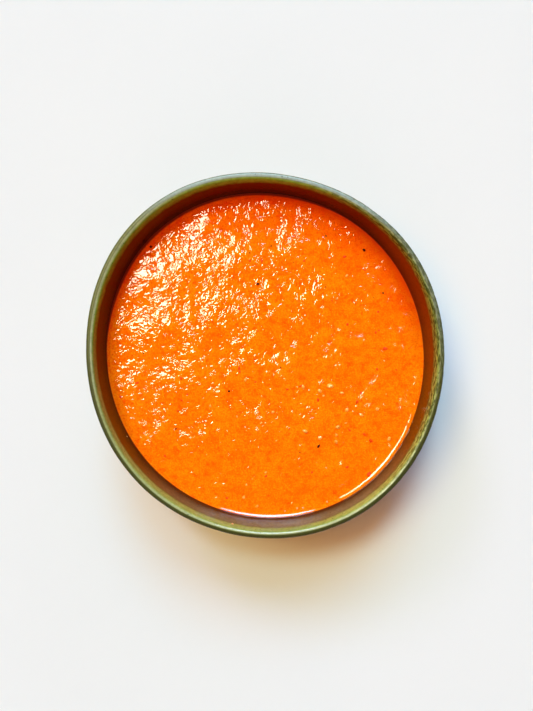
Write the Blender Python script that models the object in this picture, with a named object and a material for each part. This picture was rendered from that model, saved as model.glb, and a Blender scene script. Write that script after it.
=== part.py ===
"""Cold tomato soup in a hand-made stoneware bowl.

The scene holds two pieces: the bowl, and the soup that fills it up to its level.
Units are metres, +Z is up, and the origin is on the table under the middle of the foot.
"""
import math

import bmesh
import bpy
from mathutils import Matrix, Vector

# Bowl: outside
RIM_RADIUS = 0.0864                  # outermost edge of the rim, mean of all directions
BOWL_HEIGHT = 0.0500
OUTER_LEAN = math.radians(7.0)       # the wall opens upwards by this much
OUTER_CORNER_HEIGHT = 0.0055         # where the wall's line meets the underside's line
OUTER_CORNER_ROUNDING = 0.0170

# Bowl: lip and inside
LIP_THICKNESS = 0.0037
LIP_OUTER_ROUNDING = 0.0015
LIP_INNER_ROUNDING = 0.0021
INNER_LEAN = math.radians(10.6)      # leans more than outside, so the wall thickens downwards
FLOOR_HEIGHT = 0.0080
INNER_CORNER_ROUNDING = 0.0150

# Bowl: foot ring
FOOT_RADIUS = 0.0560
FOOT_WIDTH = 0.0050
FOOT_FLARE = 0.0012                  # the ring widens by this much where it joins the bowl
FOOT_HEIGHT = 0.0032
RECESS_DEPTH = 0.0022
FOOT_EDGE_ROUNDING = 0.0007
FOOT_ROOT_ROUNDING = 0.0015

# How far the thrown bowl is out of round: lobes round the rim, share of the radius,
# direction of one crest in degrees, and the power of the height that the wave grows with
OUTLINE_WAVES = (
    (1, 0.0056, 120.0, 6),
    (2, 0.0190, -62.0, 0),
    (3, 0.0056, 20.0, 6),
    (4, 0.0075, 37.0, 2),
)
RIM_DIP = 0.0005                     # the rim is this much lower at its two low places
RIM_DIP_DIRECTION = math.radians(35.0)
RIM_DIP_POWER = 3                    # the dip fades towards the foot with this power of the height

# Soup
SOUP_LEVEL = 0.0340
SOUP_GAP = 0.0003                    # clearance between soup and bowl
MENISCUS_RISE = 0.0015               # how far the soup climbs the wall
MENISCUS_WIDTH = 0.0014              # distance over which the climb fades to about a third
SOUP_CALM_EDGE = 0.0120              # the swells fade in over this distance from the wall

# Slow swells of the thick soup: height, wavelength, direction of travel and phase in degrees
SOUP_SWELLS = (
    (0.00022, 0.041, 25.0, 40.0),
    (0.00018, 0.029, 100.0, 200.0),
    (0.00014, 0.023, 155.0, 310.0),
)

# Finishes: linear colour, roughness and clear coat
GLAZE_FINISH = ((0.115, 0.130, 0.035), 0.28, 0.6)
SOUP_FINISH = ((0.900, 0.190, 0.008), 0.30, 0.0)

# Fineness of the meshes
SEGMENTS = 64                        # steps round the bowl
LIP_STEPS = 5
BODY_STEPS = 6
FOOT_STEPS = 2
WALL_STEP = 0.0070                   # longest stretch of wall without an extra ring
FIRST_RING = 0.0005                  # soup: width of the outermost ring of the surface
RING_GROWTH = 1.35
WIDEST_RING = 0.0062


def clear_scene():
    for thing in list(bpy.data.objects):
        bpy.data.objects.remove(thing, do_unlink=True)


def make_material(name, finish):
    """A non-metallic Principled material."""
    colour, roughness, coat = finish
    material = bpy.data.materials.new(name)
    material.use_nodes = True
    shader = material.node_tree.nodes["Principled BSDF"]
    shader.inputs["Base Color"].default_value = (*colour, 1.0)
    shader.inputs["Roughness"].default_value = roughness
    shader.inputs["Metallic"].default_value = 0.0
    shader.inputs["Coat Weight"].default_value = coat
    return material


def outline_scale(angle, height):
    """Radius at this angle and height as a share of the mean radius."""
    rise = height / BOWL_HEIGHT
    scale = 1.0
    for lobes, share, direction, power in OUTLINE_WAVES:
        scale += share * rise ** power * math.cos(lobes * (angle - math.radians(direction)))
    return scale


def rim_drop(angle, height):
    """How far the uneven rim is below its highest place; nothing at the foot."""
    wave = 0.5 - 0.5 * math.cos(2.0 * (angle - RIM_DIP_DIRECTION))
    return RIM_DIP * wave * (height / BOWL_HEIGHT) ** RIM_DIP_POWER


def rounded_path(corners):
    """Points of an outline (radius, height) whose corners are rounded.

    Each corner is its point, its rounding radius and the number of steps of its arc.
    A radius of nothing keeps the corner sharp, as at both ends of the outline.
    """
    path = []
    for index, (corner, rounding, steps) in enumerate(corners):
        if rounding == 0.0:
            path.append(corner)
            continue
        to_previous = (corners[index - 1][0] - corner).normalized()
        to_next = (corners[index + 1][0] - corner).normalized()
        half_angle = to_previous.angle(to_next) / 2.0
        middle = (to_previous + to_next).normalized()
        centre = corner + middle * rounding / math.sin(half_angle)
        first = corner + to_previous * rounding / math.tan(half_angle) - centre
        bend = math.pi - 2.0 * half_angle
        if to_previous.cross(to_next) > 0.0:
            bend = -bend
        for step in range(steps + 1):
            turn = Matrix.Rotation(bend * step / steps, 2)
            path.append(centre + turn @ first)
    return path


def with_wall_rings(path):
    """The same outline with extra points where it climbs more than one wall step."""
    finer = [path[0]]
    for start, end in zip(path, path[1:]):
        pieces = max(1, math.ceil(abs(end.y - start.y) / WALL_STEP))
        for piece in range(1, pieces + 1):
            finer.append(start.lerp(end, piece / pieces))
    return finer


def outer_wall_radius(height):
    """Radius of the straight outer wall, before any corner is rounded."""
    overhang = math.tan(OUTER_LEAN) + 1.0 / math.cos(OUTER_LEAN) - 1.0
    top = RIM_RADIUS + LIP_OUTER_ROUNDING * overhang
    return top - (BOWL_HEIGHT - height) * math.tan(OUTER_LEAN)


def inner_wall_radius(height):
    """Radius of the straight inner wall, before any corner is rounded."""
    top = outer_wall_radius(BOWL_HEIGHT) - LIP_THICKNESS
    return top - (BOWL_HEIGHT - height) * math.tan(INNER_LEAN)


def bowl_outline():
    """Half section of the bowl, from the middle of the underside to the middle inside."""
    foot_inside = FOOT_RADIUS - FOOT_WIDTH
    corners = [
        (Vector((0.0, RECESS_DEPTH)), 0.0, 0),
        (Vector((foot_inside - FOOT_FLARE, RECESS_DEPTH)), FOOT_EDGE_ROUNDING, FOOT_STEPS),
        (Vector((foot_inside, 0.0)), FOOT_EDGE_ROUNDING, FOOT_STEPS),
        (Vector((FOOT_RADIUS, 0.0)), FOOT_EDGE_ROUNDING, FOOT_STEPS),
        (Vector((FOOT_RADIUS + FOOT_FLARE, FOOT_HEIGHT)), FOOT_ROOT_ROUNDING, FOOT_STEPS),
        (Vector((outer_wall_radius(OUTER_CORNER_HEIGHT), OUTER_CORNER_HEIGHT)),
         OUTER_CORNER_ROUNDING, BODY_STEPS),
        (Vector((outer_wall_radius(BOWL_HEIGHT), BOWL_HEIGHT)), LIP_OUTER_ROUNDING, LIP_STEPS),
        (Vector((inner_wall_radius(BOWL_HEIGHT), BOWL_HEIGHT)), LIP_INNER_ROUNDING, LIP_STEPS),
        (Vector((inner_wall_radius(FLOOR_HEIGHT), FLOOR_HEIGHT)),
         INNER_CORNER_ROUNDING, BODY_STEPS),
        (Vector((0.0, FLOOR_HEIGHT)), 0.0, 0),
    ]
    return with_wall_rings(rounded_path(corners))


def meniscus(distance):
    """Height of the soup above its level at this distance from the wall."""
    return MENISCUS_RISE * math.exp(-distance / MENISCUS_WIDTH)


def swell(x, y):
    """Height of the slow swells at a place on the soup."""
    height = 0.0
    for rise, wavelength, direction, phase in SOUP_SWELLS:
        heading = math.radians(direction)
        travel = x * math.cos(heading) + y * math.sin(heading)
        height += rise * math.sin(math.tau * travel / wavelength + math.radians(phase))
    return height


def soup_outline():
    """Half section of the soup, and how many of its points are below its surface."""
    floor = FLOOR_HEIGHT + SOUP_GAP
    top = SOUP_LEVEL + meniscus(0.0)
    corners = [
        (Vector((0.0, floor)), 0.0, 0),
        (Vector((inner_wall_radius(floor) - SOUP_GAP, floor)),
         INNER_CORNER_ROUNDING - SOUP_GAP, BODY_STEPS),
        (Vector((inner_wall_radius(top) - SOUP_GAP, top)), 0.0, 0),
    ]
    below = with_wall_rings(rounded_path(corners))
    surface = []
    distance = FIRST_RING
    ring = FIRST_RING
    edge = below[-1].x
    while distance < edge - WIDEST_RING / 2.0:
        surface.append(Vector((edge - distance, SOUP_LEVEL + meniscus(distance))))
        ring = min(ring * RING_GROWTH, WIDEST_RING)
        distance += ring
    surface.append(Vector((0.0, SOUP_LEVEL)))
    return below + surface, len(below)


def turn_outline(outline, place):
    """Closed mesh from an outline turned round the axis; place(radius, height, angle, index)
    gives each point's position. The outline starts and ends on the axis."""
    mesh = bmesh.new()
    angles = [math.tau * step / SEGMENTS for step in range(SEGMENTS)]
    last = len(outline) - 1
    first_pole = mesh.verts.new(place(0.0, outline[0].y, 0.0, 0))
    last_pole = mesh.verts.new(place(0.0, outline[last].y, 0.0, last))
    rings = []
    for index in range(1, last):
        radius, height = outline[index]
        rings.append([mesh.verts.new(place(radius, height, angle, index)) for angle in angles])
    for step in range(SEGMENTS):
        after = (step + 1) % SEGMENTS
        mesh.faces.new((first_pole, rings[0][after], rings[0][step]))
        mesh.faces.new((last_pole, rings[-1][step], rings[-1][after]))
        for lower, upper in zip(rings, rings[1:]):
            mesh.faces.new((lower[step], lower[after], upper[after], upper[step]))
    bmesh.ops.recalc_face_normals(mesh, faces=mesh.faces)
    return mesh


def add_object(name, mesh, material):
    """A named object with smooth shading; curved quads are split so that all faces are flat."""
    bmesh.ops.triangulate(mesh, faces=mesh.faces)
    data = bpy.data.meshes.new(name)
    mesh.to_mesh(data)
    mesh.free()
    data.shade_smooth()
    data.materials.append(material)
    thing = bpy.data.objects.new(name, data)
    bpy.context.scene.collection.objects.link(thing)
    return thing


def make_bowl():
    """The turned bowl, with its foot ring, leaning wall and rounded lip."""
    def place(radius, height, angle, _index):
        reach = radius * outline_scale(angle, height)
        return (
            reach * math.cos(angle),
            reach * math.sin(angle),
            height - rim_drop(angle, height),
        )

    glaze = make_material("olive_glaze", GLAZE_FINISH)
    return add_object("bowl", turn_outline(bowl_outline(), place), glaze)


def make_soup():
    """The soup, from just above the bowl's floor up to its uneven surface."""
    outline, below = soup_outline()
    edge = outline[below - 1].x

    def place(radius, height, angle, index):
        reach = radius * outline_scale(angle, height)
        x = reach * math.cos(angle)
        y = reach * math.sin(angle)
        if index >= below:
            height += swell(x, y) * min(1.0, (edge - radius) / SOUP_CALM_EDGE)
        return (x, y, height)

    puree = make_material("tomato_puree", SOUP_FINISH)
    return add_object("soup", turn_outline(outline, place), puree)


clear_scene()
make_bowl()
make_soup()
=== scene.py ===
# %% [markdown]
# # A bowl of cold tomato soup
#
# The object is a low stoneware bowl, thrown and glazed by hand, with thick orange soup in it.
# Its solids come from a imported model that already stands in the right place, at the right size.
# This script gives them their looks: a finely turned bowl, a soup with a bumpy wet surface, and
# the small things that float in it. Blender's unit here is the metre, so 0.001 is a millimetre.

import math
from functools import partial

import bpy
from mathutils import Matrix, Vector


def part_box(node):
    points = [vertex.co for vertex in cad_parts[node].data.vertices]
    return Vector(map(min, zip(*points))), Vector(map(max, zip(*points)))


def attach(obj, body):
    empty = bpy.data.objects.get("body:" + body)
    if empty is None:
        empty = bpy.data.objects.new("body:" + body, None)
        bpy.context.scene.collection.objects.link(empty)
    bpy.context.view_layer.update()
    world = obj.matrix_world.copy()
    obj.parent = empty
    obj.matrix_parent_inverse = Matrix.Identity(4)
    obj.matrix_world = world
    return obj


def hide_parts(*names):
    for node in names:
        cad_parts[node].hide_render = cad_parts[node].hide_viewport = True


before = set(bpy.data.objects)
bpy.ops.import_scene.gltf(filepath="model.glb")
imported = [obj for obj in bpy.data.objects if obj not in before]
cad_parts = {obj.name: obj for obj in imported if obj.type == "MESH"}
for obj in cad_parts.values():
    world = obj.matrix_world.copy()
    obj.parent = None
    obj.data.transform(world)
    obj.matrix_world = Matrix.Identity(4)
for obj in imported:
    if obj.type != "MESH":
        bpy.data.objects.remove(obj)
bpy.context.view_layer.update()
scene = bpy.context.scene
bowl_low, bowl_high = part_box("bowl")
soup_low, soup_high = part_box("soup")
print("bowl box, mm:", [round(1000 * side, 1) for side in bowl_high - bowl_low])

# %% [markdown]
# ## Sizes
#
# A thrown bowl is described by its half section, like a drawing for a lathe. Its driving sizes are
# those of the solid model, and the height of the bowl and the level of the soup are read from the
# frame. As each size is named once, the bowl, the soup and the specks on it all follow a change.

# %% Driving sizes
MM = 0.001

BOWL_HEIGHT = bowl_high.z
RIM_RADIUS = 86.4 * MM
OUTER_LEAN = math.radians(7.0)
OUTER_CORNER_HEIGHT = 5.5 * MM
OUTER_CORNER_ROUNDING = 17.0 * MM
LIP_THICKNESS = 3.7 * MM
LIP_OUTER_ROUNDING = 1.5 * MM
LIP_INNER_ROUNDING = 2.1 * MM
INNER_LEAN = math.radians(10.6)
INNER_CORNER_ROUNDING = 15.0 * MM
FOOT_RADIUS = 56.0 * MM
FOOT_WIDTH = 5.0 * MM
FOOT_FLARE = 1.2 * MM
FOOT_HEIGHT = 3.2 * MM
RECESS_DEPTH = 2.2 * MM
FOOT_EDGE_ROUNDING = 0.7 * MM
FOOT_ROOT_ROUNDING = 1.5 * MM

SOUP_GAP = 0.3 * MM
MENISCUS_RISE = 1.5 * MM
MENISCUS_WIDTH = 1.4 * MM
FLOOR_HEIGHT = soup_low.z - SOUP_GAP
SOUP_LEVEL = soup_high.z - MENISCUS_RISE
print("soup level, mm:", round(SOUP_LEVEL / MM, 2), "floor, mm:", round(FLOOR_HEIGHT / MM, 2))

# %% [markdown]
# ## Helpers for node trees
#
# Geometry Nodes and materials are both node trees. One small function adds a node, sets its options
# and feeds its inputs: a value that comes from another node is wired, and a plain number or vector
# is typed in. It returns a Field, which stands for an output of that node. Arithmetic works on
# fields, as every sign adds a Math node, so a sum in a tree reads like a sum on paper.

# %% Fields
class Field:
    """An output of a node, the first one unless another is named."""

    def __init__(self, node, output=0):
        self.node = node
        self.output = output
        self.tree = node.id_data

    def out(self, output):
        """Another output of the same node."""
        return Field(self.node, output)

    def then(self, kind, inputs=None, **options):
        """Add a node whose first input is this field."""
        return put(self.tree, kind, {0: self, **(inputs or {})}, **options)

    def __neg__(self):
        return self * -1.0


def feed(node, inputs):
    """Wire fields into a node's inputs and type plain values into them."""
    for key, value in inputs.items():
        socket = node.inputs[key]
        if isinstance(value, Field):
            node.id_data.links.new(value.node.outputs[value.output], socket)
        else:
            socket.default_value = (*value, 1.0) if socket.type == "RGBA" else value


def put(tree, kind, inputs=None, **options):
    """Add a node, set its options and feed its inputs."""
    node = tree.nodes.new(kind)
    for name, value in options.items():
        setattr(node, name, value)
    feed(node, inputs or {})
    return Field(node)


def calc(operation, *values):
    """The result of one sum, such as ADD or SINE, on fields and numbers."""
    tree = next(value.tree for value in values if isinstance(value, Field))
    return put(tree, "ShaderNodeMath", dict(enumerate(values)), operation=operation)


# every sign of arithmetic, first for a field on its left and then for one on its right
for sign, operation in (
    ("add", "ADD"), ("sub", "SUBTRACT"), ("mul", "MULTIPLY"), ("truediv", "DIVIDE"), ("pow", "POWER"),
):
    setattr(Field, f"__{sign}__", lambda self, other, rule=operation: calc(rule, self, other))
    setattr(Field, f"__r{sign}__", lambda self, other, rule=operation: calc(rule, other, self))

# %% [markdown]
# ## Masks and places
#
# A mask is a field from 0 to 1. Nearly all of them here come from three rules: a soft step, a band
# between two steps, and a side of the bowl. They work in both kinds of tree.

# %% Common fields
cosine = partial(calc, "COSINE")
sine = partial(calc, "SINE")
highest = partial(calc, "MAXIMUM")


def split(vector):
    """The x, y and z of a vector."""
    parts = vector.then("ShaderNodeSeparateXYZ")
    return parts, parts.out("Y"), parts.out("Z")


def whereabouts(vector):
    """The x, y and z of a place, and its direction from the axis in radians."""
    x, y, z = split(vector)
    return x, y, z, calc("ARCTAN2", y, x)


def combine(x, y, z=0.0):
    """A vector from its x, y and z."""
    return x.then("ShaderNodeCombineXYZ", {"Y": y, "Z": z})


def on_circle(radius, angle, height):
    """The point at this radius, in this direction, at this height."""
    return combine(radius * cosine(angle), radius * sine(angle), height)


def soft_step(value, start, end, low=0.0, high=1.0):
    """Low where the value is at start or before it, high at end and after."""
    limits = {"From Min": start, "From Max": end, "To Min": low, "To Max": high}
    return value.then("ShaderNodeMapRange", limits, interpolation_type="SMOOTHSTEP")


def band(value, rise, fall):
    """A mask that comes in over the range rise and goes out over the range fall."""
    return soft_step(value, *rise) * soft_step(value, fall[1], fall[0])


def facing(angle, degrees, start, end):
    """A mask of one side of the bowl: the cosine of the angle off this direction, as a step."""
    return soft_step(cosine(angle - math.radians(degrees)), start, end)


def noise_at(place, size, detail=2.0, distortion=0.0, roughness=0.5):
    """Noise from 0 to 1 whose patches are about this size."""
    return place.then("ShaderNodeTexNoise", {
        "Scale": 1.0 / size, "Detail": detail, "Roughness": roughness, "Distortion": distortion})


# %% [markdown]
# ## Running a Geometry Nodes tree
#
# A tree lives in a modifier. Its sizes are named inputs, which the modifier stores under each
# socket's identifier. When the inputs are set, the evaluated object is copied into a plain mesh
# and the modifier's object is thrown away: what stays is an ordinary piece, at the origin.

# %% Tree helpers
def new_group(kind, name, inputs, outputs):
    """A node group, and its inputs as fields by name.

    Each input or output is given by a number, or by the type of its socket as a word.
    """
    tree = bpy.data.node_groups.new(name, kind)
    for in_out, sockets in (("INPUT", inputs), ("OUTPUT", outputs)):
        for label, value in sockets.items():
            word = value if isinstance(value, str) else "Int" if isinstance(value, int) else "Float"
            socket = tree.interface.new_socket(label, in_out=in_out, socket_type="NodeSocket" + word)
            if word != value:
                socket.default_value = value
    entry = tree.nodes.new("NodeGroupInput")
    return tree, {label: Field(entry, label) for label in inputs}


def new_geometry_tree(name, inputs):
    """A Geometry Nodes tree that takes a geometry and these inputs and gives a geometry."""
    inputs = {"Geometry": "Geometry", **inputs, "Material": "Material"}
    return new_group("GeometryNodeTree", name, inputs, {"Geometry": "Geometry"})


def end_tree(geometry, given):
    """Shade the geometry smooth, make instances real, set the material and hand it out."""
    real = geometry.then("GeometryNodeSetShadeSmooth").then("GeometryNodeRealizeInstances")
    done = real.then("GeometryNodeSetMaterial", {"Material": given["Material"]})
    put(geometry.tree, "NodeGroupOutput", {"Geometry": done})
    return geometry.tree


def store(geometry, name, value, kind="FLOAT"):
    """Store a field on the points under a name."""
    return geometry.then("GeometryNodeStoreNamedAttribute", {"Name": name, "Value": value},
                         data_type=kind, domain="POINT")


def stored(tree, name, kind="FLOAT"):
    """A field that was stored under a name."""
    return put(tree, "GeometryNodeInputNamedAttribute", {"Name": name}, data_type=kind)


def moved(geometry, **inputs):
    """The geometry with its points, or a Selection of them, at a Position or off by an Offset."""
    return geometry.then("GeometryNodeSetPosition", inputs)


def scaled(vector, factor):
    """A vector made longer or shorter."""
    return vector.then("ShaderNodeVectorMath", {"Scale": factor}, operation="SCALE")


def position(tree):
    """The place of each point, as a field."""
    return put(tree, "GeometryNodeInputPosition")


def add_object(name, data):
    """A new object in the scene."""
    thing = bpy.data.objects.new(name, data)
    scene.collection.objects.link(thing)
    return thing


def run_tree(tree, name, start_mesh, values):
    """Run the tree on a mesh and return the result as a plain mesh object."""
    carrier = add_object("carrier", start_mesh)
    modifier = carrier.modifiers.new("tree", "NODES")
    modifier.node_group = tree
    for item in tree.interface.items_tree:
        if item.in_out == "INPUT" and item.name in values:
            modifier[item.identifier] = values[item.name]
    evaluated = carrier.evaluated_get(bpy.context.evaluated_depsgraph_get())
    mesh = bpy.data.meshes.new_from_object(evaluated)
    bpy.data.objects.remove(carrier)
    mesh.name = name
    print(f"{name}: {sum(len(face.vertices) - 2 for face in mesh.polygons)} triangles")
    return add_object(name, mesh)


# %% [markdown]
# ## The half section of the bowl
#
# On the wheel a potter's section is a few straight runs joined by round corners. So the section
# is kept as corner points with a rounding radius each, and a function turns every corner into an
# arc. The lip is two such corners that almost meet, which makes it a half circle.

# %% Rounded outlines
def rounded_path(corners, longest):
    """Points (radius, height) of an outline with rounded corners.

    Each corner is its radius and height, its rounding and the steps of its arc; a rounding of
    nothing keeps it sharp. No two neighbouring points are further apart than the longest step.
    """
    points = [Vector(corner[:2]) for corner in corners]
    path = []
    for index, (corner, (_radius, _height, rounding, steps)) in enumerate(zip(points, corners)):
        if rounding == 0.0:
            path.append(corner)
            continue
        to_previous = (points[index - 1] - corner).normalized()
        to_next = (points[index + 1] - corner).normalized()
        half_angle = to_previous.angle(to_next) / 2.0
        middle = (to_previous + to_next).normalized()
        centre = corner + middle * rounding / math.sin(half_angle)
        first = corner + to_previous * rounding / math.tan(half_angle) - centre
        bend = math.pi - 2.0 * half_angle
        if to_previous.cross(to_next) > 0.0:
            bend = -bend
        for step in range(steps + 1):
            path.append(centre + Matrix.Rotation(bend * step / steps, 2) @ first)
    finer = [path[0]]
    for start, end in zip(path, path[1:]):
        pieces = max(1, math.ceil((end - start).length / longest))
        finer.extend(start.lerp(end, piece / pieces) for piece in range(1, pieces + 1))
    return finer


def outer_wall_radius(height):
    """Radius of the straight outer wall at a height."""
    top = RIM_RADIUS + LIP_OUTER_ROUNDING * (math.tan(OUTER_LEAN) + 1.0 / math.cos(OUTER_LEAN) - 1.0)
    return top - (BOWL_HEIGHT - height) * math.tan(OUTER_LEAN)


def inner_wall_radius(height):
    """Radius of the straight inner wall at a height."""
    top = outer_wall_radius(BOWL_HEIGHT) - LIP_THICKNESS
    return top - (BOWL_HEIGHT - height) * math.tan(INNER_LEAN)


def bowl_section(arc_steps, longest):
    """Half section of the bowl, from the middle of its underside to the middle inside."""
    foot_inside = FOOT_RADIUS - FOOT_WIDTH
    outer_corner = outer_wall_radius(OUTER_CORNER_HEIGHT)
    small = arc_steps // 3
    return rounded_path([
        (0.0, RECESS_DEPTH, 0.0, 0),
        (foot_inside - FOOT_FLARE, RECESS_DEPTH, FOOT_EDGE_ROUNDING, small),
        (foot_inside, 0.0, FOOT_EDGE_ROUNDING, small),
        (FOOT_RADIUS, 0.0, FOOT_EDGE_ROUNDING, small),
        (FOOT_RADIUS + FOOT_FLARE, FOOT_HEIGHT, FOOT_ROOT_ROUNDING, small),
        (outer_corner, OUTER_CORNER_HEIGHT, OUTER_CORNER_ROUNDING, arc_steps),
        (outer_wall_radius(BOWL_HEIGHT), BOWL_HEIGHT, LIP_OUTER_ROUNDING, arc_steps),
        (inner_wall_radius(BOWL_HEIGHT), BOWL_HEIGHT, LIP_INNER_ROUNDING, arc_steps),
        (inner_wall_radius(FLOOR_HEIGHT), FLOOR_HEIGHT, INNER_CORNER_ROUNDING, arc_steps),
        (0.0, FLOOR_HEIGHT, 0.0, 0),
    ], longest)


def section_mesh(points):
    """A mesh with one vertex for each point (radius, height) and an edge between neighbours.

    Its attribute from_crest is the way along the section from the top of the lip, in metres,
    less than nothing on the outside of the bowl and more than nothing on the inside.
    """
    mesh = bpy.data.meshes.new("section")
    edges = [(index, index + 1) for index in range(len(points) - 1)]
    mesh.from_pydata([(point.x, 0.0, point.y) for point in points], edges, [])
    along = [0.0]
    for start, end in zip(points, points[1:]):
        along.append(along[-1] + (end - start).length)
    crest = along[max(range(len(points)), key=lambda index: points[index].y)]
    attribute = mesh.attributes.new("from_crest", "FLOAT", "POINT")
    attribute.data.foreach_set("value", [way - crest for way in along])
    return mesh


section = bowl_section(arc_steps=9, longest=2.4 * MM)
print("section points:", len(section))

# %% [markdown]
# ## Out of round
#
# Nothing thrown by hand is a perfect circle. A wave of two lobes round the rim makes the bowl
# slightly oval, waves of three and four lobes push the lip in and out, and a wave of one lobe
# shifts it. A power of nought means that a wave runs down to the foot, and six that only the lip
# has it. The same rule shapes the bowl and the soup, so it is a node group that both trees use.

# %% The out-of-round group
# lobes, share of the radius, direction of a crest in degrees, and power of the height
OUTLINE_WAVES = (
    (1, 0.0056, 120.0, 6),
    (2, 0.0190, -62.0, 0),
    (3, 0.0056, 20.0, 6),
    (4, 0.0075, 37.0, 2),
)

out_of_round, given = new_group(
    "GeometryNodeTree", "out_of_round", {"Angle": 0.0, "Height": 0.0}, {"Scale": 1.0})
rise = given["Height"] / BOWL_HEIGHT
put(out_of_round, "NodeGroupOutput", {"Scale": 1.0 + sum(
    share * rise ** power * cosine(lobes * (given["Angle"] - math.radians(direction)))
    for lobes, share, direction, power in OUTLINE_WAVES
)})


def scale_at(angle, height):
    """Use the out-of-round group inside another tree."""
    return angle.then("GeometryNodeGroup", {"Height": height}, node_tree=out_of_round)


# %% [markdown]
# ## Turning the bowl
#
# The tree works like a wheel. A flat grid has one column for each step round the bowl and one row
# for each point of the section. Every grid point looks up its section point, and is sent to that
# radius and height at its own angle. Merging by distance then closes the seam and both poles.
#
# A turned form on its own looks machined, so a second step presses the surface in along its normal:
# throwing ridges left by the fingers, a slow wobble of the lip, and pits in the glaze, deepest on
# one side. It only presses inwards, so the bowl keeps its outer size.

# %% The turning tree
MERGE_DISTANCE = 0.01 * MM
RIM_DIP_POWER = 3
# two directions round the bowl, in degrees from +X
RIM_DIP_SIDE = 35.0
ROUGH_SIDE = 12.0
# ranges of height over which the wall, the lip and the part above the foot begin, or end
WALL_START, WALL_END = (5.0 * MM, 12.0 * MM), (42.0 * MM, 47.0 * MM)
LIP_START = (42.0 * MM, 48.0 * MM)
FOOT_END = (3.0 * MM, 6.0 * MM)
RIDGE_STRAY = 4.0
PIT_SIZE = 1.7 * MM
PITS_EVERYWHERE = 0.25
PITS_ON_ROUGH_SIDE = 2.2


def make_bowl_tree():
    """A bowl turned from the section that the modifier's object holds."""
    tree, given = new_geometry_tree("turned_bowl", {
        "Steps Round": 384, "Rim Dip": 0.5 * MM, "Wobble Depth": 0.22 * MM, "Pit Depth": 0.07 * MM,
        "Ridge Depth": 0.16 * MM, "Ridge Spacing": 5.2 * MM,
    })
    rows = given["Geometry"].then("GeometryNodeAttributeDomainSize").out("Point Count")
    grid = put(tree, "GeometryNodeMeshGrid", {
        "Size X": 1.0, "Size Y": 1.0, "Vertices X": given["Steps Round"] + 1.0, "Vertices Y": rows})
    spot = position(tree)
    across, up, _flat = split(spot)
    angle = (across + 0.5) * math.tau
    row = calc("ROUND", (up + 0.5) * (rows - 1.0))

    def of_section(value, kind):
        """The value that the section point of this row has."""
        return given["Geometry"].then(
            "GeometryNodeSampleIndex", {"Value": value, "Index": row}, data_type=kind, domain="POINT")

    radius, _middle, height = split(of_section(spot, "FLOAT_VECTOR"))
    dip = 0.5 - cosine((angle - math.radians(RIM_DIP_SIDE)) * 2.0) * 0.5
    drop = dip * (height / BOWL_HEIGHT) ** RIM_DIP_POWER * given["Rim Dip"]
    turned = on_circle(radius * scale_at(angle, height), angle, height - drop)
    marked = store(grid, "from_crest", of_section(stored(tree, "from_crest"), "FLOAT"))
    form = moved(marked, Position=turned)
    closed = form.then("GeometryNodeMergeByDistance", {"Distance": MERGE_DISTANCE})
    inwards = scaled(put(tree, "GeometryNodeInputNormal"), -press_depth(spot, given))
    return end_tree(moved(closed, Offset=inwards), given)


def press_depth(spot, given):
    """How far each point of the turned bowl is pressed in along its normal."""
    _x, _y, z, angle = whereabouts(spot)
    # ridges climb one spacing a turn, like the spiral that a finger leaves
    climb = z / given["Ridge Spacing"] * math.tau
    ridge = sine(climb + angle + noise_at(spot, 30.0 * MM) * RIDGE_STRAY) * 0.5 + 0.5
    on_wall = band(z, WALL_START, WALL_END)
    # the lip swells and thins slowly round the bowl
    on_lip = soft_step(z, *LIP_START)
    wobble = noise_at(spot, 16.0 * MM, detail=1.0) * on_lip
    # small pits, deepest on the rough side of the lip
    rough_lip = facing(angle, ROUGH_SIDE, 0.25, 0.95) * on_lip
    pit = soft_step(noise_at(spot, PIT_SIZE, detail=1.5), 0.45, 0.7)
    amount = (rough_lip * PITS_ON_ROUGH_SIDE + PITS_EVERYWHERE) * soft_step(z, *FOOT_END)
    return (ridge * on_wall * given["Ridge Depth"] + wobble * given["Wobble Depth"]
            + pit * amount * given["Pit Depth"])


bowl_tree = make_bowl_tree()

# %% [markdown]
# ## Colour helpers for materials
#
# Materials here read Object coordinates, which are the real metres of the piece, so a pattern has
# its true size and stays put when the piece is exported. Two patterns are used by more than one
# material, so each is a group of its own: blotches with a size and an edge, and round specks.

# %% Shader pattern groups
# soft patches of a size; Cover is where the mask starts and Edge how soft it is
blotches, given = new_group("ShaderNodeTree", "blotches", {
    "Place": "Vector", "Size": 0.005, "Detail": 2.0, "Cover": 0.5, "Edge": 0.1}, {"Mask": 0.0})
patch = noise_at(given["Place"], given["Size"], given["Detail"])
mask = soft_step(patch, given["Cover"] - given["Edge"], given["Cover"] + given["Edge"])
put(blotches, "NodeGroupOutput", {"Mask": mask})

# round specks about Size apart, as wide as the share Width of that, and only a share Few shown
specks, given = new_group("ShaderNodeTree", "specks", {
    "Place": "Vector", "Size": 0.003, "Width": 0.2, "Few": 0.5}, {"Mask": 0.0})
cells = given["Place"].then("ShaderNodeTexVoronoi", {"Scale": 1.0 / given["Size"]})
dot = soft_step(cells.out("Distance"), given["Width"], given["Width"] * 0.6)
pick = cells.out("Color").then("ShaderNodeSeparateColor").out("Red")
put(specks, "NodeGroupOutput", {"Mask": dot * calc("LESS_THAN", pick, given["Few"])})


def pattern(group, place, **values):
    """Place a pattern group in a material and return its mask."""
    return place.then("ShaderNodeGroup", values, node_tree=group)


def tint(base, *layers):
    """Lay colours over a base one after another, each where its own mask is 1."""
    for colour, mask in layers:
        base = mask.then("ShaderNodeMix", {6: base, 7: colour}, data_type="RGBA").out(2)
    return base


def bumped(height, strength, distance):
    """The normals of a surface that has this height on it."""
    inputs = {"Strength": strength, "Distance": distance, "Height": height}
    return put(height.tree, "ShaderNodeBump", inputs)


def mark(tree, name):
    """A number that the mesh carries, as its attribute of this name."""
    return put(tree, "ShaderNodeAttribute", attribute_name=name).out("Fac")


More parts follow.
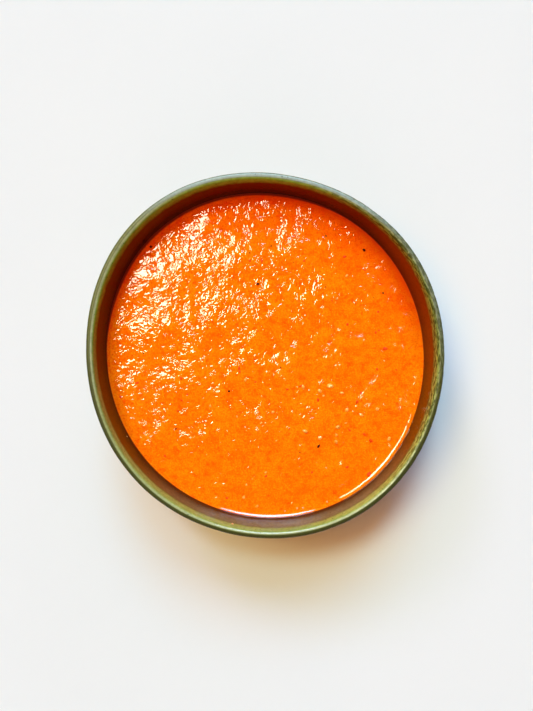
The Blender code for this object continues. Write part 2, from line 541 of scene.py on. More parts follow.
def new_material(name):
    """A material with its Principled shader, and the Object coordinates as a field."""
    material = bpy.data.materials.new(name)
    material.use_nodes = True
    tree = material.node_tree
    return material, tree.nodes["Principled BSDF"], put(tree, "ShaderNodeTexCoord").out("Object")


# %% [markdown]
# ## The glaze
#
# The glaze is an olive green over a buff clay, and it changes in zones along the section. It is
# dark outside, as painted shade that is deepest on the side turned from the lamps, and thin over the
# lip, where a pale line shows just inside the crest, above a band that is straw on the near sides and
# yellow-green on the far side, where the colour is partly painted light. Further down, the wall is
# stained rust at the sides and grey-brown near by; the dark red of the far side is painted shade lit
# by the soup's red light, a brighter patch on the right is painted light, and the wall darkens as
# painted shade down towards the soup. The pale crest has a painted sky reflection on the far and
# right side and a painted sheen on the left and near it, and streaks lie along the rough side, where
# the glaze ran. The foot is bare clay, as a glazed one would stick to the kiln shelf. The zones follow
# the attribute from_crest, so they stay level with the lip, and directions come from Object
# coordinates. The crest is worn and shines softly, and the inside is as smooth as glass.

# %% Glaze material
GLAZE_OLIVE = (0.135, 0.132, 0.017)
GLAZE_DEEP = (0.046, 0.048, 0.008)
GLAZE_PALE = (0.400, 0.410, 0.165)
GLAZE_PAINTED_SHEEN = (0.500, 0.500, 0.270)
GLAZE_THIN = (0.255, 0.300, 0.050)
GLAZE_YELLOW = (0.340, 0.530, 0.045)
GLAZE_STRAW = (0.370, 0.380, 0.070)
GLAZE_PAINTED_REFLECTION = (0.370, 0.450, 0.410)
GLAZE_FLECK = (0.020, 0.022, 0.006)
WALL_GREY = (0.155, 0.114, 0.044)
WALL_RUST = (0.172, 0.046, 0.0010)
WALL_PAINTED_SHADE_RED = (0.122, 0.0002, 0.0004)
WALL_PAINTED_LIGHT = (0.235, 0.030, 0.0010)
WALL_SHADE_AND_MOTTLE = (0.018, 0.005, 0.0015)
BARE_CLAY = (0.360, 0.245, 0.150)
CLAY_GRIT = (0.240, 0.150, 0.085)
GLAZE_LINE = 2.6 * MM
GLAZE_LINE_STRAY = 0.9 * MM
STREAK_CIRCLE = 0.3 * RIM_RADIUS

# the sides on which the glaze differs: direction in degrees, and the cosines of its soft step
# several of these sides only place painted light, shade, sheen or reflection
GLAZE_SIDES = {
    "rough": (ROUGH_SIDE, 0.30, 0.95), "shaded": (258.0, -0.30, 0.50),
    "yellow": (125.0, 0.35, 0.85), "straw right": (330.0, 0.60, 0.95), "straw left": (224.0, 0.60, 0.95),
    "dim right": (0.0, 0.75, 0.97), "dim far": (95.0, 0.80, 0.97), "seam": (25.0, 0.80, 0.97),
    "sheen left": (150.0, 0.60, 0.90), "sheen near": (275.0, 0.60, 0.90),
    "reflection far": (85.0, 0.62, 0.90), "reflection right": (30.0, 0.75, 0.98),
    "near": (275.0, 0.50, 1.00), "far": (100.0, -0.30, 0.50), "bright": (20.0, 0.80, 0.98),
    "less shade right": (0.0, 0.50, 0.95), "less shade left": (180.0, 0.75, 0.97),
}


def make_glaze():
    """Olive stoneware glaze, thin on the lip, stained inside, with a bare clay foot."""
    material, shader, place = new_material("olive_glaze")
    _x, _y, z, angle = whereabouts(place)
    side = {name: facing(angle, *row) for name, row in GLAZE_SIDES.items()}
    from_crest = mark(place.tree, "from_crest")
    way = from_crest / MM

    pooled = pattern(blotches, place, Size=7.0 * MM, Detail=3.0, Cover=0.52, Edge=0.16)
    mottle = pattern(blotches, place, Size=1.5 * MM, Cover=0.52)
    flecks = pattern(specks, place, Size=2.6 * MM, Width=0.16, Few=0.35)
    grit = pattern(blotches, place, Size=0.8 * MM, Detail=3.0, Edge=0.2)
    # the place on a smaller circle, which draws a pattern out into streaks along the lip
    on_rim = on_circle(STREAK_CIRCLE, angle, from_crest)
    streaks = pattern(blotches, on_rim, Size=0.9 * MM)

    # the zones of the lip, in millimetres inwards from the crest
    # painted shade: the outside of the lip is darkened, most on the side turned from the lamps
    outside = soft_step(way, 1.0, 0.2) * (side["shaded"] * 0.8 + 0.1)
    thin = band(way, (0.8, 1.5), (5.0, 7.0))
    straw_sides = side["straw right"] + side["straw left"]
    # partly painted light: the band's yellow-green on the far side lifts the green that shade and the soup's
    # red light take there
    runny = tint(GLAZE_THIN, (GLAZE_YELLOW, side["yellow"]), (GLAZE_STRAW, straw_sides))
    dim_sides = highest(side["dim right"], side["dim far"])
    crest = band(way, (0.5, 1.1), (1.4, 2.3)) * (dim_sides * -0.6 + 0.9)
    # painted sheen: the pale crest is lighter on the lit left side and whiter on the near side
    pale = tint(GLAZE_PALE, (GLAZE_PAINTED_SHEEN, highest(side["sheen left"], side["sheen near"] * 0.5)))
    # painted reflection: a pale blue sky reflection on the crest, on the far side and a little on the right
    painted_crest_reflection = band(way, (-1.2, -0.6), (0.8, 1.3)) * highest(side["reflection far"], side["reflection right"] * 0.32)
    broken = streaks * (side["rough"] * 0.72 + 0.16) * soft_step(way, -9.0, -2.0, low=0.12)
    broken = broken * (painted_crest_reflection * -0.6 + 1.0)
    seam = band(way, (1.2, 1.7), (2.0, 2.6)) * side["seam"]

    # inside, the wall is stained grey-brown near and rust on both sides; its dark red on the far side is
    # painted shade lit by the soup's red light, and a brighter patch on the right is painted light
    uneven = noise_at(place, 5.0 * MM) * 2.0 + way
    stain = tint(
        WALL_RUST,
        (WALL_GREY, side["near"]),
        (WALL_PAINTED_SHADE_RED, side["far"] * soft_step(uneven, 3.4, 6.2)),
        (WALL_PAINTED_LIGHT, side["bright"] * 0.75),
    )
    stained = soft_step(side["far"] * 0.6 + uneven - straw_sides, 4.9, 8.0)
    # painted shade: the wall darkens down towards the soup, less at the right and left; the same dark colour
    # also gives the glaze's mottle
    less_shaded_sides = highest(side["less shade right"], side["less shade left"])
    wet = soft_step(uneven, 9.0, 17.5) * (less_shaded_sides * -0.5 + 1.0)

    line_stray = noise_at(place, 12.0 * MM) * GLAZE_LINE_STRAY
    bare = calc("LESS_THAN", z, line_stray + (GLAZE_LINE - GLAZE_LINE_STRAY))
    colour = tint(
        GLAZE_OLIVE,
        (GLAZE_DEEP, pooled * 0.25),
        (GLAZE_DEEP, outside),
        (runny, thin * 0.9),
        (pale, crest),
        (GLAZE_PAINTED_REFLECTION, painted_crest_reflection * 0.75),
        (GLAZE_DEEP, broken),
        (GLAZE_DEEP, seam * 0.5),
        (stain, stained),
        (WALL_SHADE_AND_MOTTLE, wet),
        (GLAZE_FLECK, flecks * 0.5),
        (WALL_SHADE_AND_MOTTLE, mottle * 0.14),
        (tint(BARE_CLAY, (CLAY_GRIT, grit)), bare),
    )
    worn = band(way, (-6.0, -2.0), (0.6, 1.2))
    feed(shader, {
        "Base Color": colour,
        "Roughness": highest(mottle * 0.08 + (worn * 0.20 + 0.15), bare * 0.75),
        "Normal": bumped(noise_at(place, 0.9 * MM, detail=3.0), 0.25, 0.05 * MM),
        "IOR": 1.36,
    })
    return material


glaze = make_glaze()
stoneware_bowl = run_tree(bowl_tree, "stoneware_bowl", section_mesh(section), {"Material": glaze})

# %% [markdown]
# ## The soup's surface
#
# Thick soup isn't a mirror. It climbs the wall a little, where it wets it, and pulp under the
# surface lifts it into soft lumps and fine crinkles, which break the light into hundreds of small
# glints. They come from noises of three sizes, lower on the near side, where the soup has settled;
# a dozen lumps that stand out are named by their places. A square grid squeezed into a disc has
# cells of nearly one size, so the crinkles are equally sharp everywhere, and its rings close up
# towards the wall for the climb. Skirts are extruded down inside the wall and closed.

# %% The soup tree
SOUP_BITE = 0.25 * MM
SOUP_CALM_EDGE = 12.0 * MM
SETTLED_SHARE = 0.72
CONTACT_HEIGHT = SOUP_LEVEL + MENISCUS_RISE
CONTACT_RADIUS = inner_wall_radius(CONTACT_HEIGHT) + SOUP_BITE

# height, wavelength, direction of travel in degrees and phase in degrees of each slow swell
SOUP_SWELLS = (
    (0.22 * MM, 41.0 * MM, 25.0, 40.0),
    (0.18 * MM, 29.0 * MM, 100.0, 200.0),
    (0.14 * MM, 23.0 * MM, 155.0, 310.0),
)

# the lumps that stand out: place across and up, radius and height, in millimetres
SOUP_CURDS = (
    (20.4, 28.3, 2.7, 0.52), (6.0, 23.7, 2.3, 0.42), (-4.4, 8.2, 3.0, 0.50), (7.3, -9.0, 1.8, 0.30),
    (26.2, 8.8, 2.0, 0.36), (31.1, 21.3, 1.8, 0.30), (36.0, 38.8, 1.8, 0.30), (-35.8, 1.0, 2.7, 0.46),
    (33.6, -16.2, 1.6, 0.34), (-22.0, -18.5, 2.0, 0.34), (45.5, -2.0, 1.7, 0.26), (14.5, -24.0, 1.7, 0.26),
)


def squeeze_into_disc(spot):
    """Sends a point of the square from -1 to 1 to the disc of radius 1, keeping areas alike.

    Each square ring becomes a circle. Where X is the larger of the two, the ring's radius is X and
    the angle is an eighth of a turn times Y / X; elsewhere X and Y change places.
    """
    x, y, _flat = split(spot)
    x_larger = calc("GREATER_THAN", calc("ABSOLUTE", x), calc("ABSOLUTE", y))
    radius = y + x_larger * (x - y)
    other = x + x_larger * (y - x)
    turn = other / radius * (math.pi / 4.0)
    long_side = radius * cosine(turn)
    short_side = radius * sine(turn)
    swap = x_larger * (long_side - short_side)
    return short_side + swap, long_side - swap


def swells(x, y):
    """Height of the slow swells."""
    total = 0.0
    for rise, wavelength, direction, phase in SOUP_SWELLS:
        heading = math.radians(direction)
        travel = x * math.cos(heading) + y * math.sin(heading)
        total = sine(travel * (math.tau / wavelength) + math.radians(phase)) * rise + total
    return total


def curds(x, y):
    """Height of the lumps that stand out, each a round hill."""
    total = 0.0
    for across, up, radius, rise in SOUP_CURDS:
        aside, above = x - across * MM, y - up * MM
        away = aside * aside + above * above
        total = calc("EXPONENT", away / -(radius * MM) ** 2) * (rise * MM) + total
    return total


def relief(flat, given):
    """Lumps, curds and crinkles of the puree, about nought on average."""
    total = 0.0
    for label, distortion in (("Lump", 0.0), ("Curd", 0.6), ("Crinkle", 0.8)):
        noise = noise_at(flat, given[f"{label} Size"], detail=1.0, distortion=distortion)
        total = (noise - 0.5) * given[f"{label} Height"] + total
    return total


def settling(y):
    """The share of its roughness that the soup keeps, less on the near side."""
    return soft_step(y, -25.0 * MM, -60.0 * MM, low=1.0, high=SETTLED_SHARE)


def make_soup_tree():
    """The soup as one closed body."""
    tree, given = new_geometry_tree("poured_soup", {
        "Cells Across": 290, "Edge Squeeze": 0.55, "Squeeze Width": 5.0 * MM,
        "Lump Height": 0.24 * MM, "Lump Size": 9.0 * MM,
        "Curd Height": 0.47 * MM, "Curd Size": 4.4 * MM,
        "Crinkle Height": 0.06 * MM, "Crinkle Size": 1.5 * MM,
    })
    cells = given["Cells Across"] + 1.0
    grid = put(tree, "GeometryNodeMeshGrid",
               {"Size X": 2.0, "Size Y": 2.0, "Vertices X": cells, "Vertices Y": cells})
    disc_x, disc_y = squeeze_into_disc(position(tree))
    share = calc("SQRT", disc_x * disc_x + disc_y * disc_y)
    angle = calc("ARCTAN2", disc_y, disc_x)

    # rings close up near the wall: inset is the distance from the wall before and after
    inset = (1.0 - share) * CONTACT_RADIUS
    most = given["Edge Squeeze"] * given["Squeeze Width"]
    pull = most * (1.0 - calc("EXPONENT", -inset / given["Squeeze Width"]))
    inset = (inset - pull) * (CONTACT_RADIUS / (CONTACT_RADIUS - most))
    reach = (CONTACT_RADIUS - inset) * scale_at(angle, CONTACT_HEIGHT)
    x, y = reach * cosine(angle), reach * sine(angle)

    from_wall = inset - SOUP_BITE
    climb = calc("EXPONENT", -from_wall / MENISCUS_WIDTH) * MENISCUS_RISE
    rough = relief(combine(x, y), given) * settling(y) + curds(x, y)
    swell = swells(x, y) * soft_step(inset, 0.0, SOUP_CALM_EDGE)
    height = climb + SOUP_LEVEL + (swell + rough * soft_step(inset, 0.8 * MM, 5.0 * MM, low=0.12))
    marked = store(store(grid, "from_wall", from_wall), "relief", rough)
    surface = moved(marked, Position=combine(x, y, height))
    return end_tree(add_skirts(surface), given)


def add_skirts(surface):
    """Extrude the rim of the surface down inside the wall, and in to the middle of the floor."""
    tree = surface.tree
    floor = FLOOR_HEIGHT - SOUP_BITE
    below = rounded_path([
        (CONTACT_RADIUS, CONTACT_HEIGHT, 0.0, 0),
        (inner_wall_radius(floor) + SOUP_BITE, floor, INNER_CORNER_ROUNDING, 3),
        (0.0, floor, 0.0, 0),
    ], longest=BOWL_HEIGHT * 2.0)
    neighbours = put(tree, "GeometryNodeInputMeshEdgeNeighbors")
    edge = put(tree, "FunctionNodeCompare", {2: neighbours, 3: 1}, data_type="INT", operation="EQUAL")
    for point in below[1:]:
        extruded = surface.then(
            "GeometryNodeExtrudeMesh", {"Selection": edge, "Offset Scale": 0.0}, mode="EDGES")
        edge = extruded.out("Top")
        angle = whereabouts(position(tree))[3]
        target = on_circle(scale_at(angle, point.y) * point.x, angle, point.y)
        surface = moved(extruded, Selection=edge, Position=target)
    return surface.then("GeometryNodeMergeByDistance", {"Distance": MERGE_DISTANCE})


soup_tree = make_soup_tree()

# %% [markdown]
# ## The soup's colour
#
# Pureed tomato and pepper is a very pure orange: it sends back nearly all the red, a sixth of the
# green and almost no blue. Its cells are a little yellower or redder, and a few spots have bits of
# red skin under the surface. A fine grain of darker and lighter spots is painted shade and light
# of tiny bumps. The tops of the lumps are painted yellower as painted light and the hollows redder
# as painted shade, which the attribute relief gives. Towards the wall the soup is painted darker
# and redder as painted shade from the wall, most of all on the far side, and it ends in a thin dark
# line of painted contact shade; the attribute from_wall says how far the wall is. The finest
# wrinkles are a bump, as they are smaller than the mesh: a sine of a noise runs round every lump
# like the lines of a map, which gives the long thin glints of a stirred puree, and a finer one
# breaks them up into little loops.

# %% Soup material
SOUP_ORANGE = (0.965, 0.152, 0.0004)
SOUP_YELLOW = (0.975, 0.245, 0.0015)
SOUP_RED = (0.930, 0.088, 0.0006)
SOUP_SMUDGE = (0.820, 0.035, 0.0010)
SOUP_GRAIN_SHADE = (0.780, 0.085, 0.0003)
SOUP_GRAIN_LIGHT = (0.980, 0.300, 0.0050)
SOUP_PAINTED_SHADE = (0.640, 0.042, 0.0003)
SOUP_CONTACT_SHADE = (0.090, 0.010, 0.0010)
RELIEF_RANGE = 0.12 * MM
PAINTED_SHADE_WIDTH = 8.0 * MM
WRINKLE_TURNS = 62.0
WRINKLE_HEIGHT = 0.040 * MM
LOOP_TURNS = 22.0
LOOP_HEIGHT = 0.007 * MM
GRAIN_HEIGHT = 0.070 * MM


def make_soup_material():
    """Wet orange puree."""
    material, shader, place = new_material("tomato_puree")
    _x, y, _z, angle = whereabouts(place)
    pulp_height = mark(place.tree, "relief")
    from_wall = mark(place.tree, "from_wall")
    broad = pattern(blotches, place, Size=16.0 * MM, Detail=3.0, Cover=0.52, Edge=0.18)
    fine = pattern(blotches, place, Size=2.0 * MM, Cover=0.56, Edge=0.16)
    red = pattern(blotches, place, Size=3.1 * MM, Detail=1.0, Cover=0.66)
    smudge = pattern(specks, place, Size=11.0 * MM, Width=0.14, Few=0.22)
    cell = noise_at(place, 0.8 * MM, roughness=0.7)
    # painted shade: near the wall the soup is darker red, most on the far right, which the wall shades
    film = calc("EXPONENT", from_wall / -PAINTED_SHADE_WIDTH) * (facing(angle, 55.0, 0.45, 0.95) * 0.85 + 0.1)
    # painted contact shade: a dark line where the soup meets the wall, widest on the far side
    contact_shade_width = facing(angle, 118.0, 0.5, 0.85) * (1.0 * MM) + 0.3 * MM
    colour = tint(
        SOUP_ORANGE,
        (SOUP_YELLOW, broad * 0.45),
        (SOUP_YELLOW, fine * 0.45),
        (SOUP_RED, red * 0.8),
        (SOUP_SMUDGE, smudge * 0.6),
        # painted light: the tops of the lumps are yellower; painted shade: the hollows are redder
        (SOUP_RED, soft_step(pulp_height, 0.0, -RELIEF_RANGE, high=0.50)),
        (SOUP_YELLOW, soft_step(pulp_height, 0.0, RELIEF_RANGE, high=0.55)),
        # a fine grain of painted shade and light on tiny bumps, half a millimetre and less
        (SOUP_GRAIN_SHADE, soft_step(cell, 0.52, 0.28, high=0.75)),
        (SOUP_GRAIN_LIGHT, soft_step(cell, 0.50, 0.74, high=0.75)),
        (SOUP_PAINTED_SHADE, film),
        (SOUP_CONTACT_SHADE, soft_step(from_wall / contact_shade_width, 1.0, 0.3) * 0.9),
    )
    # heights in metres: wrinkles run round every lump and loops round every grain
    wrinkle = sine(noise_at(place, 6.0 * MM, detail=1.5) * WRINKLE_TURNS)
    depth = soft_step(noise_at(place, 7.0 * MM, detail=1.0), 0.38, 0.62,
                      low=0.4 * WRINKLE_HEIGHT, high=WRINKLE_HEIGHT)
    loop = sine(noise_at(place, 2.4 * MM, detail=0.0) * LOOP_TURNS)
    grain = noise_at(place, 1.3 * MM, detail=0.0)
    height = wrinkle * depth + grain * GRAIN_HEIGHT + loop * LOOP_HEIGHT
    # where the soup climbs the wall its skin is drawn smooth
    drawn = soft_step(from_wall, 1.5 * MM, 4.5 * MM, low=0.08)
    feed(shader, {
        "Base Color": colour,
        "Roughness": fine * 0.01 + 0.018,
        "Normal": bumped(height * settling(y) * drawn, 1.0, 1.0),
        "IOR": 1.5,
    })
    return material


puree = make_soup_material()
tomato_soup = run_tree(soup_tree, "tomato_soup", bpy.data.meshes.new("nothing"), {"Material": puree})

# %% [markdown]
# ## Small things in the soup
#
# Cracked pepper, flakes of red skin, lumps of pulp and a few bubbles lie in the surface, two
# splashes stuck to the wall, and the glaze has some beads on its rough side. One tree drops all.
#
# Its mesh holds the places that matter, one vertex each, with a size, a stretch, a turn and the
# heading of a ray; a disc is sown with smaller bits at random places. Where a ray hits the ground,
# its bit is laid flat on the surface and sunk by a share of its size, so nothing floats. The bits
# are four dented balls of 80 faces, which is enough for things of a millimetre.

# %% The dropping tree
DROP_HEIGHT = 60.0 * MM
PEBBLE_KINDS = 4
PEBBLE_NOISE_STEP = 7.0
DENT_SIZE = 1.0 / 2.2
DISC_SIDES = 48
RAY_LENGTH = 0.2


def join(tree, parts):
    """Join geometries into one."""
    joined = put(tree, "GeometryNodeJoinGeometry")
    for part in parts:
        feed(joined.node, {0: part})
    return joined


def make_pebble(spot, kind, dents):
    """One dented ball, as an instance to pick."""
    ball = put(spot.tree, "GeometryNodeMeshIcoSphere", {"Radius": 0.5, "Subdivisions": 2})
    shifted = spot.then("ShaderNodeVectorMath", {1: (PEBBLE_NOISE_STEP * kind, 0.0, 0.0)}, operation="ADD")
    lumpy = noise_at(shifted, DENT_SIZE, detail=1.0).out("Color")
    centred = lumpy.then("ShaderNodeVectorMath", {1: (0.5, 0.5, 0.5)}, operation="SUBTRACT")
    dented = moved(ball, Offset=scaled(centred, dents))
    return dented.then("GeometryNodeGeometryToInstance")


def random_number(seed, offset, low, high):
    """A random number for each point; the offset keeps two draws with one seed apart."""
    share = put(seed.tree, "FunctionNodeRandomValue", {"Seed": seed + offset}, data_type="FLOAT").out(1)
    return share * (high - low) + low


def sow_disc(given):
    """Random places over a disc, mostly small, with the attributes that named places have."""
    seed = given["Seed"]
    disc = put(seed.tree, "GeometryNodeMeshCircle", {"Vertices": DISC_SIDES, "Radius": given["Reach"]},
               fill_type="NGON")
    raised = moved(disc, Offset=(0.0, 0.0, DROP_HEIGHT))
    sown = raised.then("GeometryNodeDistributePointsOnFaces", {"Density": given["Density"], "Seed": seed})
    rare = random_number(seed, 11, 0.0, 1.0) ** 3.0
    sown = store(sown, "size", rare * (given["Largest"] - given["Smallest"]) + given["Smallest"])
    sown = store(sown, "stretch", random_number(seed, 12, 1.0, 1.9))
    sown = store(sown, "turn", random_number(seed, 13, 0.0, math.tau))
    return store(sown, "heading", (0.0, 0.0, -1.0), "FLOAT_VECTOR")


def make_drop_tree():
    """Bits laid on the ground object at named places and at random ones."""
    tree, given = new_geometry_tree("dropped_bits", {
        "Ground": "Object", "Flatness": 0.5, "Sunk": 0.3, "Dents": 0.4,
        "Reach": 70.0 * MM, "Density": 0.0, "Smallest": 0.3 * MM, "Largest": 0.8 * MM, "Seed": 1,
    })
    spot = position(tree)
    ground = given["Ground"].then("GeometryNodeObjectInfo").out("Geometry")
    places = join(tree, [given["Geometry"].then("GeometryNodeMeshToPoints"), sow_disc(given)])
    ray = ground.then("GeometryNodeRaycast", {
        "Source Position": spot,
        "Ray Direction": stored(tree, "heading", "FLOAT_VECTOR"),
        "Ray Length": RAY_LENGTH,
    })
    upright = store(places, "upright", ray.out("Hit Normal"), "FLOAT_VECTOR")
    missed = ray.out("Is Hit").then("FunctionNodeBooleanMath", operation="NOT")
    hits = upright.then("GeometryNodeDeleteGeometry", {"Selection": missed})
    landed = moved(hits, Position=ray.out("Hit Position"))

    size = stored(tree, "size")
    normal = stored(tree, "upright", "FLOAT_VECTOR")
    lift = size * (given["Flatness"] * (0.5 - given["Sunk"]))
    settled = moved(landed, Offset=scaled(normal, lift))
    tilt = put(tree, "FunctionNodeAlignRotationToVector", {"Vector": normal}, axis="Z")
    spin = put(tree, "FunctionNodeAxisAngleToRotation",
               {"Axis": (0.0, 0.0, 1.0), "Angle": stored(tree, "turn")})
    bits = settled.then("GeometryNodeInstanceOnPoints", {
        "Instance": join(tree, [make_pebble(spot, kind, given["Dents"]) for kind in range(PEBBLE_KINDS)]),
        "Pick Instance": True,
        "Rotation": tilt.then("FunctionNodeRotateRotation", {"Rotate By": spin}, rotation_space="LOCAL"),
        "Scale": combine(size * stored(tree, "stretch"), size, size * given["Flatness"]),
    })
    return end_tree(bits, given)


drop_tree = make_drop_tree()

# %% [markdown]
# ## Where the small things are
#
# Each has its place in millimetres from the middle of the bowl, its longest side and its stretch.
# Things on the wall are named by direction and height instead, and their rays go outwards from the
# axis. A turn that follows from the place's own number is random enough.

# %% Places
TURN_STEP = 2.4

PEPPER = (
    (-3.7, 35.8, 1.2, 1.3), (49.5, 52.9, 1.3, 1.2), (-57.3, 54.4, 1.2, 1.1), (26.7, -45.4, 1.1, 1.8),
    (-18.2, -17.8, 1.0, 1.2), (59.0, 31.3, 0.8, 1.1), (30.4, 59.9, 0.7, 1.3), (2.9, 54.9, 0.7, 1.2),
    (-44.8, -36.8, 0.7, 1.5),
)
SKIN = (
    (60.0, 3.3, 1.7, 1.5), (53.0, -42.8, 1.6, 1.4), (26.4, -22.3, 1.3, 1.3), (52.0, -59.4, 2.0, 1.3),
    (17.9, -15.3, 1.2, 1.5), (-72.3, -20.8, 1.2, 1.3), (-7.7, 47.4, 1.1, 1.4), (46.0, -23.3, 1.5, 1.2),
    (56.5, 21.8, 1.0, 1.2), (19.4, 47.4, 0.9, 1.3), (-50.3, -50.4, 1.0, 1.5), (-43.8, -27.8, 1.0, 1.2),
    (0.3, -60.4, 1.1, 1.4), (-19.2, -71.4, 1.0, 1.3), (56.0, -6.8, 1.1, 1.2), (48.0, -18.8, 1.0, 1.5),
)
PULP = (
    (32.4, -15.3, 2.4, 1.4), (27.4, -17.8, 1.8, 1.3), (18.9, -15.8, 1.6, 1.5), (40.9, -27.3, 1.7, 1.3),
    (36.4, -35.8, 1.8, 1.3), (48.0, -29.8, 1.5, 1.4), (56.0, -26.8, 1.6, 1.2), (62.0, -41.8, 1.8, 1.3),
    (27.4, -41.3, 1.9, 1.2), (19.9, -37.8, 1.7, 1.5), (35.4, -43.3, 1.5, 1.3), (-10.7, -70.9, 1.4, 1.3),
    (-4.2, -75.4, 1.3, 1.2), (38.4, -18.8, 1.4, 1.4),
)
BUBBLES = ((15.9, -76.6, 0.9, 1.0), (18.9, -76.4, 1.0, 1.0), (9.9, -77.9, 0.8, 1.0), (30.9, -73.2, 0.9, 1.0))
# direction in degrees and height, both along the wall
SPLASHES = ((210.4, 37.3, 0.7, 1.2), (259.0, 45.9, 1.1, 1.2))
GLAZE_BEADS = (
    (23.0, 48.5, 1.3, 1.6), (9.0, 48.9, 0.8, 1.3), (35.0, 48.8, 0.7, 1.5), (348.0, 49.0, 0.7, 1.2),
)


def places_mesh(rows, on_wall=False):
    """One vertex for each place, with the attributes that the dropping tree reads."""
    spots, headings = [], []
    for across, up, _size, _stretch in rows:
        if on_wall:
            around = math.radians(across)
            spots.append((0.0, 0.0, up * MM))
            headings += (math.cos(around), math.sin(around), 0.0)
        else:
            spots.append((across * MM, up * MM, DROP_HEIGHT))
            headings += (0.0, 0.0, -1.0)
    mesh = bpy.data.meshes.new("places")
    mesh.from_pydata(spots, [], [])
    for name, kind, key, values in (
        ("heading", "FLOAT_VECTOR", "vector", headings),
        ("size", "FLOAT", "value", [row[2] * MM for row in rows]),
        ("stretch", "FLOAT", "value", [row[3] for row in rows]),
        ("turn", "FLOAT", "value", [TURN_STEP * number for number in range(len(rows))]),
    ):
        mesh.attributes.new(name, kind, "POINT").data.foreach_set(key, values)
    return mesh


# %% [markdown]
# ## What the small things are made of
#
# All of them are small, wet and uneven, so one recipe does: two colours mixed by blotches, a
# roughness, and a grain as a bump. Pepper is nearly black and dull, skin an orange red, as soup
# covers it, and pulp paler than the soup. A bubble's pale edge is a painted reflection: its colour
# turns pale where it is seen edge-on, by a Layer Weight mask, and stays orange in its middle.

# %% The recipe
def make_bit_material(name, first, second, grain_size, roughness, shine=0.5, rim=None):
    """Two blotched colours with a grain; with a rim colour, edge-on parts turn to it as a painted
    reflection.
    """
    material, shader, place = new_material(name)
    patch = pattern(blotches, place, Size=grain_size, Edge=0.15)
    colour = tint(first, (second, patch))
    if rim:
        # painted reflection: the colour turns pale where the surface is seen edge-on
        edge_reflection = put(place.tree, "ShaderNodeLayerWeight", {"Blend": 0.35}).out("Facing")
        colour = tint(colour, (rim, soft_step(edge_reflection, 0.15, 0.6)))
    feed(shader, {
        "Base Color": colour,
        "Roughness": roughness,
        "Specular IOR Level": shine,
        "Normal": bumped(noise_at(place, 0.5 * grain_size), 0.5, 0.1 * grain_size),
    })
    return material


# %% Drop the small things
# name, places, whether on the wall, slot, numbers for the tree's inputs, and the material
BIT_INPUTS = ("Flatness", "Sunk", "Dents", "Density", "Smallest", "Largest", "Seed")
BITS = (
    ("pepper_specks", PEPPER, False, "cracked_pepper",
     (0.6, 0.35, 0.6, 1500.0, 0.25 * MM, 0.60 * MM, 3),
     ("cracked_pepper", (0.085, 0.005, 0.001), (0.022, 0.003, 0.001), 0.4 * MM, 0.60, 0.08)),
    ("skin_flakes", SKIN, False, "vegetable_bits",
     (0.22, 0.45, 0.5, 4500.0, 0.35 * MM, 1.2 * MM, 7),
     ("pepper_skin", (0.93, 0.070, 0.0008), (0.84, 0.040, 0.0008), 0.6 * MM, 0.45, 0.10)),
    ("pulp_lumps", PULP, False, "vegetable_bits",
     (0.34, 0.35, 0.5, 4500.0, 0.4 * MM, 1.4 * MM, 5),
     ("pulp", (0.98, 0.46, 0.090), (0.97, 0.30, 0.020), 0.8 * MM, 0.05)),
    # the bubbles' last colour is their painted edge reflection
    ("bubbles", BUBBLES, False, "tomato_puree", (0.9, 0.5, 0.0),
     ("froth", (0.96, 0.36, 0.080), (0.96, 0.28, 0.030), 0.5 * MM, 0.08, 0.5, (0.93, 0.72, 0.60))),
    ("wall_splashes", SPLASHES, True, "tomato_puree", (0.4, 0.3, 0.6),
     ("dried_splash", (0.62, 0.34, 0.120), (0.50, 0.20, 0.035), 0.4 * MM, 0.35)),
    ("glaze_beads", GLAZE_BEADS, True, "olive_glaze", (0.5, 0.55, 0.1),
     ("glaze_bead", (0.190, 0.200, 0.040), (0.080, 0.085, 0.015), 0.5 * MM, 0.10)),
)
small_things = []
for name, rows, on_wall, slot, numbers, looks in BITS:
    values = dict(zip(BIT_INPUTS, numbers))
    values["Ground"] = stoneware_bowl if on_wall else tomato_soup
    values["Material"] = make_bit_material(*looks)
    small_things.append((run_tree(drop_tree, name, places_mesh(rows, on_wall), values), slot))

# %% [markdown]
# ## Riding on the frame
#
# Each finished piece rides on the one body of the model. The two fine pieces stand for the plain
# solids, which are then hidden; the small things stand for nothing.

# %% Hand the pieces to the frame
for piece, node, slot in (
    (stoneware_bowl, "bowl", "olive_glaze"),
    (tomato_soup, "soup", "tomato_puree"),
):
    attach(piece, "root")
    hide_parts(node)
for thing, slot in small_things:
    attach(thing, "root")

# %% [markdown]
# ## Floor, light and camera
#
# The bowl stands on a plain pale floor. Daylight falls from above the picture and a warm lamp
# stands on the left, so the shadow of the rim has a warm part and a cool part. Soft shadows need
# wide lamps and sharp glints a bright one, so each lamp is seen either in matt or in glossy light
# only: seven make the shadows, the near one for what the room sends back, and two are what the wet
# soup and the glaze mirror. The camera hangs straight above the bowl, close to it.

# %% Floor
FLOOR_HALF = 6.0


def make_floor():
    """A large pale floor, under the foot."""
    mesh = bpy.data.meshes.new("floor")
    low, high = -FLOOR_HALF, FLOOR_HALF
    mesh.from_pydata([(low, low, 0), (high, low, 0), (high, high, 0), (low, high, 0)], [], [(0, 1, 2, 3)])
    material, shader, place = new_material("floor_paint")
    cloud = pattern(blotches, place, Size=0.09, Edge=0.4)
    feed(shader, {
        "Base Color": tint((0.752, 0.744, 0.747), ((0.738, 0.732, 0.736), cloud)),
        "Roughness": 0.75,
        "Specular IOR Level": 0.2,
    })
    mesh.materials.append(material)
    return add_object("floor", mesh)


make_floor()

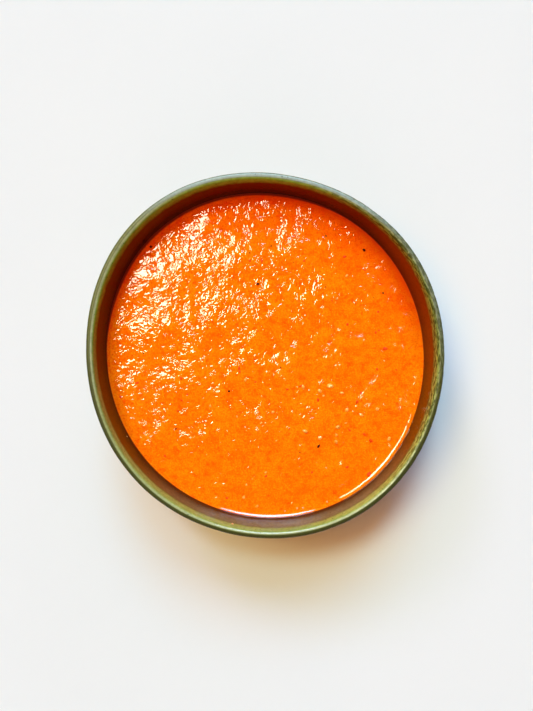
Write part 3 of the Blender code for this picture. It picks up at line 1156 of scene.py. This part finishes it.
# %% Lights
# name, direction in degrees round the bowl, height in degrees, apparent width in degrees,
# the colour that it alone would give the floor, and in which light it is seen
LIGHTS = (
    ("window_low", 91.0, 39.0, 24.0, (0.09, 0.24, 0.365), "matt"),
    ("window_far", 120.0, 32.0, 14.0, (0.09, 0.09, 0.15), "matt"),
    ("window_high", 109.0, 57.0, 11.0, (0.12, 0.19, 0.19), "matt"),
    ("pale_wall", 138.0, 53.0, 15.0, (0.14, 0.17, 0.10), "matt"),
    ("warm_lamp", 162.0, 63.0, 32.0, (0.37, 0.17, 0.03), "matt"),
    ("room", 70.0, 26.0, 45.0, (0.050, 0.035, 0.055), "matt"),
    ("near_side", 268.0, 35.0, 50.0, (0.056, 0.036, 0.034), "matt"),
    ("window_glint", 139.0, 66.0, 18.0, (0.55, 0.54, 0.38), "glossy"),
    ("low_glint", 89.0, 41.0, 26.0, (0.46, 0.60, 0.81), "glossy"),
)
FLOOR_GREY = 0.79
GLOW_LEVEL = 0.29


def add_sun(name, spot, width, colour, energy, seen_in):
    """A far lamp that shines from the direction of a spot on the bowl."""
    lamp = bpy.data.lights.new(name, "SUN")
    lamp.angle = math.radians(width)
    lamp.color = colour
    lamp.energy = energy
    sun = add_object(name, lamp)
    sun.visible_diffuse = seen_in == "matt"
    sun.visible_glossy = seen_in == "glossy"
    sun.location = spot
    sun.rotation_euler = (-Vector(spot)).to_track_quat("-Z", "Y").to_euler()
    print(f"{name}: {energy:.2f} W/m2")
    return sun


for name, direction, elevation, width, level, seen_in in LIGHTS:
    around, up = math.radians(direction), math.radians(elevation)
    spot = (math.cos(around) * math.cos(up), math.sin(around) * math.cos(up), math.sin(up))
    strongest = max(level)
    add_sun(name, spot, width, [share / strongest for share in level],
            strongest / FLOOR_GREY * math.pi / math.sin(up), seen_in)

# the soup glows a little where the wall shades it, as red light comes through from all sides
glow = add_sun("glow", (0.75, -0.15, 1.0), 30.0, (1.0, 0.05, 0.0), GLOW_LEVEL * math.pi, "matt")
lit_by_glow = bpy.data.collections.new("lit_by_glow")
lit_by_glow.objects.link(tomato_soup)
glow.light_linking.receiver_collection = lit_by_glow


def make_world():
    """Dim overhead, paler towards the horizon, so that flat soup mirrors nothing bright.

    Seen directly it is an even pale backdrop.
    """
    world = bpy.data.worlds.new("studio")
    world.use_nodes = True
    ray = put(world.node_tree, "ShaderNodeTexCoord").out("Generated")
    level = soft_step(split(ray)[2], 0.05, 0.75, low=0.10, high=0.01)
    seen = put(world.node_tree, "ShaderNodeLightPath").out("Is Camera Ray")
    feed(world.node_tree.nodes["Background"],
         {"Color": (1.0, 0.99, 0.97), "Strength": seen * 0.85 + (1.0 - seen) * level})
    scene.world = world


make_world()
scene.view_settings.view_transform = "Standard"

# %% Camera
CAMERA_HEIGHT = 301.1 * MM
CAMERA_X = 0.6 * MM
CAMERA_LENS = 27.0
camera = add_object("camera", bpy.data.cameras.new("camera"))
camera.data.lens = CAMERA_LENS
camera.data.clip_start = 0.01
camera.location = (CAMERA_X, 0.0, CAMERA_HEIGHT)
scene.camera = camera
